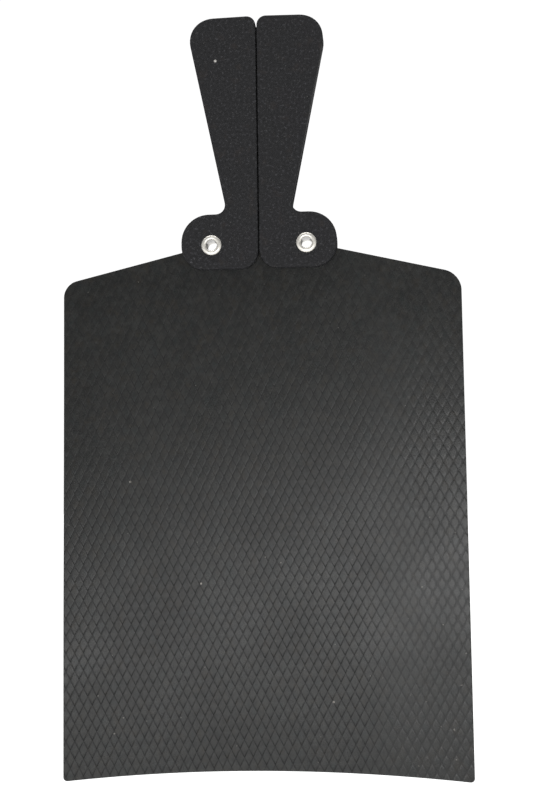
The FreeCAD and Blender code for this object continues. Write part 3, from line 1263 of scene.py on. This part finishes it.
    def shade_below(self, place: Vector) -> float:
        """How much painted shade, with some dulling, a place gets; it is most under a diamond's proud lower
        tip.

        Args:
            place: The place on the flat sheet.

        Returns:
            0 on the tops and at the upper tips, up to 1 at the lower tips.
        """
        if place.y > self.floor + ABOVE_FLOOR or self.share_of_relief(place) > self.crown_foot:
            return 0.0
        one, other = self.cell_shares(self.evened(place))
        strength = self.lean(place.x) / self.shingle
        if min(one, other, 1.0 - one, 1.0 - other) < self.line_width:
            return self.node_shade * strength
        return min(max(other - one, 0.0) ** self.tip_gather * self.tip_shade, 1.0) * strength

    # ---- how the leaf hangs

    def curl(self, across: float, up: float) -> float:
        """How far the hanging leaf stands off its flat place.

        Args:
            across: The place across.
            up: The place's height.

        Returns:
            The distance, towards the back.
        """
        hang = smooth_step(self.bend_start - up, *self.curl_band)
        reach = self.left_curl if across < 0 else self.right_curl
        bow = -reach * (across / self.half_width) ** 2
        ripple = self.ripple * math.sin(across * self.ripple_across + up * self.ripple_up)
        return hang * (bow + ripple)

    def bent(self, place: Vector) -> Vector:
        """A place on the flat sheet, moved to where the hanging sheet has it."""
        return place + ALONG_Y * self.curl(place.x, place.z)

    # ---- the layers

    def pierce(self, piece: Workpiece) -> None:
        """Punch the eyelets' holes through a layer."""
        for bore in self.bores:
            drum = Workpiece.drum("hole", self.eyelet_hole, self.spare, bore, self.hole_sides)
            piece.combine(drum, "DIFFERENCE")

    def cover(self) -> Workpiece:
        """The face layer with its raised diamonds.

        Returns:
            The piece.
        """
        height = self.tongue_high.z - self.low.z
        width = 2 * self.half_width
        reach = math.hypot(1.0, 1.0) / 2 * (width / self.pitch_across + height / self.pitch_up)
        cells = int(reach * math.sqrt(2.0)) + self.spare_cells
        cells += cells % 2
        middle = self.middle
        cell = 1.0 * MM
        piece = Workpiece.grid("leaf_cover", cells, cells * cell, middle, math.pi / 4)
        piece.open()
        bpy.ops.mesh.select_all(action="SELECT")
        diagonal = cell * math.sqrt(2.0)
        bpy.ops.transform.resize(
            value=(self.pitch_across / diagonal, 1.0, self.pitch_up / diagonal),
            center_override=middle,
        )
        self.drop_spare(piece)
        bpy.ops.mesh.select_all(action="SELECT")
        bpy.ops.mesh.extrude_region_move(
            TRANSFORM_OT_translate={"value": ALONG_Y * (self.high.y - self.low.y - self.relief)}
        )
        piece.face_outwards()
        piece.pick_faces(lambda co, normal: normal.y < self.facing and co.y < middle.y + ABOVE_FLOOR)
        crown_share = 1.0 - self.slope_share
        rings = ((self.groove_half, 0.0), (self.slope, self.slope_share), (self.crown, crown_share))
        for inset, share in rings:
            bpy.ops.mesh.inset(thickness=inset, depth=self.relief * share, use_individual=True)
        piece.shut()
        piece.move_points(self.laid)
        outline = Workpiece.plate("sheet_outline", self.outline(), -self.spare, self.spare, self.corner_steps)
        piece.combine(outline, "INTERSECT")
        self.pierce(piece)
        piece.tidy()
        piece.note("relief", self.share_of_relief)
        # the painted shade mask under the diamonds' lower tips
        piece.note("shade", self.shade_below)
        piece.move_points(self.bent)
        piece.smooth(self.cover_angle)
        return piece

    def drop_spare(self, piece: Workpiece) -> None:
        """Delete the cells that lie well outside the sheet.

        Args:
            piece: The grid, in edit mode.
        """
        side = self.half_width + self.spare
        tongue = self.shoulder_inner + self.spare

        def outside(co: Vector, _normal: Vector) -> bool:
            """Whether a cell is well outside the sheet."""
            if abs(co.x) > side or co.z < self.low.z - self.spare or co.z > self.tongue_high.z + self.spare:
                return True
            return abs(co.x) > tongue and co.z > self.tongue_low.z + 2 * self.spare

        piece.pick_faces(outside)
        bpy.ops.mesh.delete(type="FACE")

    def layer(self, name: str, node: str, rim: float) -> Workpiece:
        """A plain layer with the sheet's outline, cut up finely enough to bend.

        Args:
            name: The piece's name.
            node: The CAD node whose thickness it has.
            rim: How much of its outer edge is rounded, or 0.

        Returns:
            The piece.
        """
        low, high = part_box(node)
        piece = Workpiece.plate(name, self.outline(), low.y, high.y, self.corner_steps)
        if rim > 0:
            piece.round_rim(high.y, rim, 2)
        half = int(self.half_width / self.mesh_step)
        piece.slice(ALONG_X, [self.mesh_step * step for step in range(-half, half + 1)])
        rows = int((self.tongue_high.z - self.low.z) / self.mesh_step)
        foot = self.low.z
        piece.slice(ALONG_Z, [foot + self.mesh_step * (row + self.mesh_offset) for row in range(rows + 1)])
        self.pierce(piece)
        piece.move_points(self.bent)
        piece.smooth(self.layer_angle)
        return piece

    def join(self, piece: Workpiece, nodes: Sequence[str]) -> None:
        """Hide the CAD nodes that a layer stands for, put its place into its mesh and log its size.

        Args:
            piece: The layer.
            nodes: The CAD nodes that it stands for.
        """
        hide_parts(*nodes)
        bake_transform(piece.thing)
        piece.report()

    def build(self) -> None:
        specks = [self.bent(Vector((across, self.low.y, up))) for across, up in self.specks]
        mark = Vector((0.0, 0.0, self.grip_low.z + self.mark_rise))
        cover = self.cover()
        cover.dress(EmbossedRubber().material(specks, mark))
        self.join(cover, ("leaf_face", "tongue_face"))
        fabric = self.layer("leaf_fabric", "leaf_ply", 0.0)
        fabric.dress(WovenPly().material())
        self.join(fabric, ("leaf_ply", "tongue_ply"))
        back = self.layer("leaf_back", "leaf_backing", self.back_rim)
        back.dress(ClothMarkedRubber().material())
        self.join(back, ("leaf_backing", "tongue_backing"))


# ------------------------------------------------------------------ the handle


@dataclass
class GripPlates:
    """The four plates of the handle: one is modelled, and the others are its mirror images."""

    seam: float = 0.3 * MM
    neck_half: float = 16.2 * MM
    lobe_half_span: float = 40.0 * MM
    lobe_height: float = 28.6 * MM
    top_half: float = 37.4 * MM
    top_outer_fall: float = 0.8 * MM
    lobe_inner_round: float = 9.5 * MM
    lobe_lower_round: float = 12.0 * MM
    lobe_upper_round: float = 14.2 * MM
    neck_round: float = 5.0 * MM
    top_outer_round: float = 12.5 * MM
    top_inner_round: float = 4.8 * MM
    rim: float = 0.6 * MM
    rim_steps: int = 4
    corner_steps: int = 12
    mesh_step: float = 2.4 * MM
    mesh_offset: float = 0.7
    inner_rim: float = 0.25 * MM
    inner_rim_steps: int = 2
    eyelet_hole: float = 3.3 * MM
    hole_length: float = 12.0 * MM
    hole_sides: int = 48
    pinch: float = 0.28 * MM
    pinch_band: Band = (5.0 * MM, 9.5 * MM)
    wave_across: float = 150.0
    wave_start: float = 1.1
    wave_up: float = 90.0
    wave_share: float = 0.25
    pocket_clear: float = 0.1
    pocket_under: float = 1.0
    smooth_angle: float = 35.0
    speck: Band = (-21.4 * MM, 27.4 * MM)

    def __post_init__(self) -> None:
        """Read the front right plate's place from the frame."""
        self.low, self.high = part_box("grip_front_right")
        bore = next(item for item in frame["record"]["mounts"] if item["name"] == "eyelet_bore_right")
        self.eyelet = Vector(bore["pos_m"])

    def outline(self) -> list[Corner]:
        """The right plate's outline.

        Returns:
            The corners, in order from the seam's foot.
        """
        bottom, top = self.low.z, self.high.z
        lobe_top = bottom + self.lobe_height
        return [
            Corner(self.seam, bottom, self.lobe_inner_round),
            Corner(self.lobe_half_span, bottom, self.lobe_lower_round),
            Corner(self.lobe_half_span, lobe_top, self.lobe_upper_round),
            Corner(self.neck_half, lobe_top, self.neck_round),
            Corner(self.top_half, top - self.top_outer_fall, self.top_outer_round),
            Corner(self.seam, top, self.top_inner_round),
        ]

    def swell(self, place: Vector) -> Vector:
        """A place on the plate's outer face, pressed down round the eyelet and a little uneven.

        Args:
            place: The place on the flat plate.

        Returns:
            The new place.
        """
        outer = (self.high.y - place.y) / (self.high.y - self.low.y)
        away = math.hypot(place.x - self.eyelet.x, place.z - self.eyelet.z)
        raised = smooth_step(away, *self.pinch_band)
        across = math.sin(place.x * self.wave_across + self.wave_start)
        wave = HALF + HALF * across * math.sin(place.z * self.wave_up)
        lift = self.pinch * raised * (1.0 - self.wave_share + self.wave_share * wave)
        return place - ALONG_Y * lift * max(outer, 0.0)

    def first(self) -> Workpiece:
        """The front right plate.

        Returns:
            The piece.
        """
        front, back = self.low.y, self.high.y
        piece = Workpiece.plate("grip_front_right_pad", self.outline(), front, back, self.corner_steps)
        piece.round_rim(front, self.rim, self.rim_steps)
        piece.round_rim(back, self.inner_rim, self.inner_rim_steps)
        columns = int(self.lobe_half_span / self.mesh_step)
        piece.slice(ALONG_X, [self.mesh_step * (step + self.mesh_offset) for step in range(columns)])
        rows = int((self.high.z - self.low.z) / self.mesh_step)
        foot = self.low.z
        piece.slice(ALONG_Z, [foot + self.mesh_step * (row + self.mesh_offset) for row in range(rows)])
        piece.move_points(self.swell)
        middle = Vector((self.eyelet.x, (self.low.y + self.high.y) / 2, self.eyelet.z))
        drum = Workpiece.drum("hole", self.eyelet_hole, self.hole_length, middle, self.hole_sides)
        piece.combine(drum, "DIFFERENCE")
        piece.tidy()
        return piece

    def pocket(self) -> Workpiece:
        """The stiffener's pocket, as a cutter for the back plates.

        Returns:
            The cutter.
        """
        low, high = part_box("handle_stiffener")
        clear = Vector((self.pocket_clear, 0.0, self.pocket_clear)) * MM
        under = Vector((0.0, self.pocket_under, 0.0)) * MM
        return Workpiece.block("pocket", low - clear - under, high + clear)

    def build(self) -> None:
        across, up = self.speck
        specks = [Vector((across, self.low.y, up))]
        material = GrainedRubber().material(specks)
        first = self.first()
        plates = {(Face.FRONT, Side.RIGHT): first}
        for face in Face:
            for side in Side:
                if (face, side) in plates:
                    continue
                name = f"grip_{face.name.lower()}_{side.name.lower()}_pad"
                flip = Vector((float(side.value), 1.0 if face is Face.FRONT else -1.0, 1.0))
                plates[face, side] = first.mirrored(name, flip)
        for (face, side), plate in plates.items():
            if face is Face.BACK:
                plate.combine(self.pocket(), "DIFFERENCE")
            plate.smooth(self.smooth_angle)
            plate.dress(material)
            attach(plate.thing, Body.HANDLE.value)
            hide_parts(f"grip_{face.name.lower()}_{side.name.lower()}")
            plate.report()


@dataclass
class Eyelets:
    """The two hollow eyelets and the washers that their rolled ends bear on."""

    bore: float = 2.8 * MM
    barrel: float = 3.2 * MM
    flange: float = 5.2 * MM
    rim: float = 4.5 * MM
    washer_inner: float = 3.3 * MM
    washer_outer: float = 5.6 * MM
    flare: float = 0.55 * MM
    lip: float = 0.45 * MM
    throat: float = 0.2 * MM
    crest_share: float = 0.42
    roll_edge: float = 0.3 * MM
    chip: float = 0.12 * MM
    arc_steps: int = 7
    steps: int = 64
    wall_band: Band = (0.05 * MM, 0.1 * MM)
    throat_band: Band = (0.5 * MM, 0.2 * MM)
    smooth_angle: float = 40.0

    def __post_init__(self) -> None:
        """Read the right eyelet's and washer's places from the frame."""
        self.low, self.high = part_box("eyelet_right")
        self.washer_low, self.washer_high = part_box("washer_right")
        self.grip_low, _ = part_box("grip_front_right")
        self.middle = (self.low + self.high) / 2

    def profile(self) -> list[Vector]:
        """The eyelet's section on the right of its axis: bore, flange, barrel and rolled end.

        Returns:
            The section's points, in order.
        """
        front, seat = self.low.y, self.grip_low.y
        end, rest = self.high.y, self.washer_high.y
        drop, roll = seat - front, end - rest
        steps = self.arc_steps
        flare = self.bore + self.flare
        points = [(flare, rest - roll), (self.bore, 0.0), (self.bore, seat + self.throat)]
        crest = self.bore + self.crest_share * (self.flange - self.bore)
        for step in range(1, steps + 1):
            turn = QUARTER_TURN * step / steps
            points.append((crest - (crest - self.bore) * math.cos(turn), seat - drop * math.sin(turn)))
        for step in range(1, steps + 1):
            turn = QUARTER_TURN * step / steps
            points.append((crest + (self.flange - crest) * math.sin(turn), seat - drop * math.cos(turn)))
        points.append((self.barrel, seat))
        points.append((self.barrel, rest))
        outer = self.rim - self.roll_edge
        points.append((outer, rest))
        for step in range(1, steps + 1):
            turn = math.pi * step / steps
            back = rest + roll / 2 * (1 - math.cos(turn))
            points.append((outer + self.roll_edge * math.sin(turn), back))
        lip = flare + self.lip
        points.append((lip, end))
        for step in range(1, steps):
            turn = QUARTER_TURN * step / steps
            back = end - (end - rest + roll) * (1 - math.cos(turn))
            points.append((lip - self.lip * math.sin(turn), back))
        return [Vector((self.middle.x + reach, through, self.middle.z)) for reach, through in points]

    def washer_profile(self) -> list[Vector]:
        """The washer's section, with broken edges.

        Returns:
            The section's points, in order.
        """
        chip = self.chip
        inner, outer = self.washer_inner, self.washer_outer
        front, back = self.washer_low.y, self.washer_high.y
        points = [
            (inner, front),
            (outer, front),
            (outer, back - chip),
            (outer - chip, back),
            (inner + chip, back),
            (inner, back - chip),
        ]
        return [Vector((self.middle.x + reach, through, self.middle.z)) for reach, through in points]

    def inside(self, place: Vector) -> float:
        """How far inside the bore a place on the right eyelet is, which sets the painted shade on the bore's
        wall.

        Args:
            place: The place.

        Returns:
            1 on the bore's wall, 0 outside.
        """
        away = math.hypot(place.x - self.middle.x, place.z - self.middle.z)
        within, beyond = self.wall_band
        near_wall = 1.0 - smooth_step(away, self.bore + within, self.barrel + beyond)
        before, behind = self.throat_band
        behind_flange = smooth_step(place.y, self.grip_low.y - before, self.grip_low.y + behind)
        return near_wall * behind_flange

    def build(self) -> None:
        material = NickelPlate().material()
        across = Vector((-2 * self.middle.x, 0.0, 0.0))
        for kind, points in (("eyelet", self.profile()), ("washer", self.washer_profile())):
            right = Workpiece.chain(f"{kind}_right_pressed", points)
            right.revolve(Vector((self.middle.x, 0.0, self.middle.z)), self.steps)
            # the painted shade mask for the bore's wall
            right.note("inside", self.inside)
            left = right.shifted(f"{kind}_left_pressed", across)
            for piece, side in ((right, Side.RIGHT), (left, Side.LEFT)):
                piece.smooth(self.smooth_angle)
                piece.dress(material)
                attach(piece.thing, Body.HANDLE.value)
                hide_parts(f"{kind}_{side.name.lower()}")
                piece.report()


@dataclass
class Stiffener:
    """The flat stiffener, whose CAD shape is right and is kept."""

    node: str = "handle_stiffener"

    def build(self) -> None:
        """Dress the CAD node."""
        thing = frame["nodes"][self.node]
        thing.data.materials.clear()
        thing.data.materials.append(MouldedPlastic().material())
        log.info("%s: kept from the frame", self.node)


# ------------------------------------------------------------------ the studio


@dataclass(frozen=True)
class Panel:
    """A soft light panel that faces the leaf."""

    name: str
    power: float
    width: float
    height: float
    place: Vector
    tilt: float

    def hang(self) -> None:
        """Hang the panel."""
        light = bpy.data.lights.new(self.name, "AREA")
        light.shape = "RECTANGLE"
        light.size = self.width
        light.size_y = self.height
        light.energy = self.power
        lamp = bpy.data.objects.new(self.name, light)
        lamp.location = self.place
        lamp.rotation_euler = Euler((QUARTER_TURN, math.radians(self.tilt), 0.0))
        lamp.visible_camera = False
        bpy.context.scene.collection.objects.link(lamp)


@dataclass
class Studio:
    """A plain pale floor, a white surround, soft lights and the camera."""

    floor_gap: float = 0.2
    floor_side: float = 400.0
    floor_pale: Colour = (0.9, 0.9, 0.9, 1.0)
    floor_paler: Colour = (0.93, 0.93, 0.93, 1.0)
    floor_cloud: Grain = Grain(3.0, 2.0)
    floor_dullness: float = 0.9
    white: Colour = (1.0, 1.0, 1.0, 1.0)
    surround: float = 0.22
    surround_seen: float = 1.05
    overhead: float = 3.8
    overhead_angle: float = 60.0
    overhead_lean: Band = (-4.0, -7.0)
    key: Panel = Panel("key", 1.9, 0.26, 0.22, Vector((0.20, -0.95, -0.262)), 0.0)
    strip: Panel = Panel("strip", 2.0, 0.62, 0.17, Vector((-0.14, -0.95, -0.325)), -13.5)
    aim: Vector = Vector((2.4 * MM, 0.0, -149.4 * MM))
    distance: float = 0.6532
    azimuth: float = 4.9
    elevation: float = -4.87
    roll: float = -0.8
    lens: float = 57.55
    clip: Band = (0.05, 1000.0)

    def floor(self) -> None:
        """Lay the floor under the hanging paddle."""
        low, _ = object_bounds()
        Workpiece.clear_selection()
        bpy.ops.mesh.primitive_plane_add(size=self.floor_side, location=(0.0, 0.0, low.z - self.floor_gap))
        floor = Workpiece.take_active("floor")
        graph = Graph("pale_floor")
        cloud = graph.noise(graph.place(), self.floor_cloud)
        colour = graph.blend(cloud, self.floor_pale, self.floor_paler)
        floor.dress(graph.finish(colour, self.floor_dullness, Specular_IOR_Level=0.0))
        floor.thing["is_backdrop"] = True

    def world(self) -> None:
        """Surround the scene with plain white: it shows brighter than it lights."""
        world = bpy.data.worlds.new("surround")
        bpy.context.scene.world = world
        world.use_nodes = True
        nodes, links = world.node_tree.nodes, world.node_tree.links
        background = nodes["Background"]
        background.inputs["Color"].default_value = self.white
        background.inputs["Strength"].default_value = self.surround
        seen = nodes.new("ShaderNodeBackground")
        seen.inputs["Color"].default_value = self.white
        seen.inputs["Strength"].default_value = self.surround_seen
        path = nodes.new("ShaderNodeLightPath")
        mix = nodes.new("ShaderNodeMixShader")
        links.new(path.outputs["Is Camera Ray"], mix.inputs[0])
        links.new(background.outputs[0], mix.inputs[1])
        links.new(seen.outputs[0], mix.inputs[2])
        links.new(mix.outputs[0], nodes["World Output"].inputs["Surface"])

    def lights(self) -> None:
        """Hang the broad overhead light and the two soft panels that face the leaf."""
        scene = bpy.context.scene
        sky = bpy.data.lights.new("overhead", "SUN")
        sky.energy = self.overhead
        sky.angle = math.radians(self.overhead_angle)
        lamp = bpy.data.objects.new("overhead", sky)
        back, side = self.overhead_lean
        lamp.rotation_euler = Euler((math.radians(back), math.radians(side), 0.0))
        scene.collection.objects.link(lamp)
        for panel in (self.key, self.strip):
            panel.hang()

    def camera(self) -> None:
        """Set up the camera."""
        scene = bpy.context.scene
        data = bpy.data.cameras.new("camera")
        data.lens = self.lens
        data.clip_start, data.clip_end = self.clip
        around, above = math.radians(self.azimuth), math.radians(self.elevation)
        away = Vector(
            (math.sin(around) * math.cos(above), -math.cos(around) * math.cos(above), math.sin(above))
        )
        camera = bpy.data.objects.new("camera", data)
        camera.location = self.aim + away * self.distance
        looking = (-away).to_track_quat("-Z", "Y")
        turned = Euler((0.0, 0.0, math.radians(self.roll))).to_quaternion()
        camera.rotation_euler = (looking @ turned).to_euler()
        scene.collection.objects.link(camera)
        scene.camera = camera
        scene.view_settings.view_transform = "Standard"

    def build(self) -> None:
        """Build the whole studio."""
        self.floor()
        self.world()
        self.lights()
        self.camera()
        log.info("studio: floor, surround, lights and camera")


def main() -> None:
    """Build the paddle and its studio, in order."""
    logging.basicConfig(level=logging.INFO, format="%(name)s %(message)s")
    for part in (LeafSheet(), GripPlates(), Eyelets(), Stiffener(), Studio()):
        part.build()


if __name__ == "__main__":
    main()
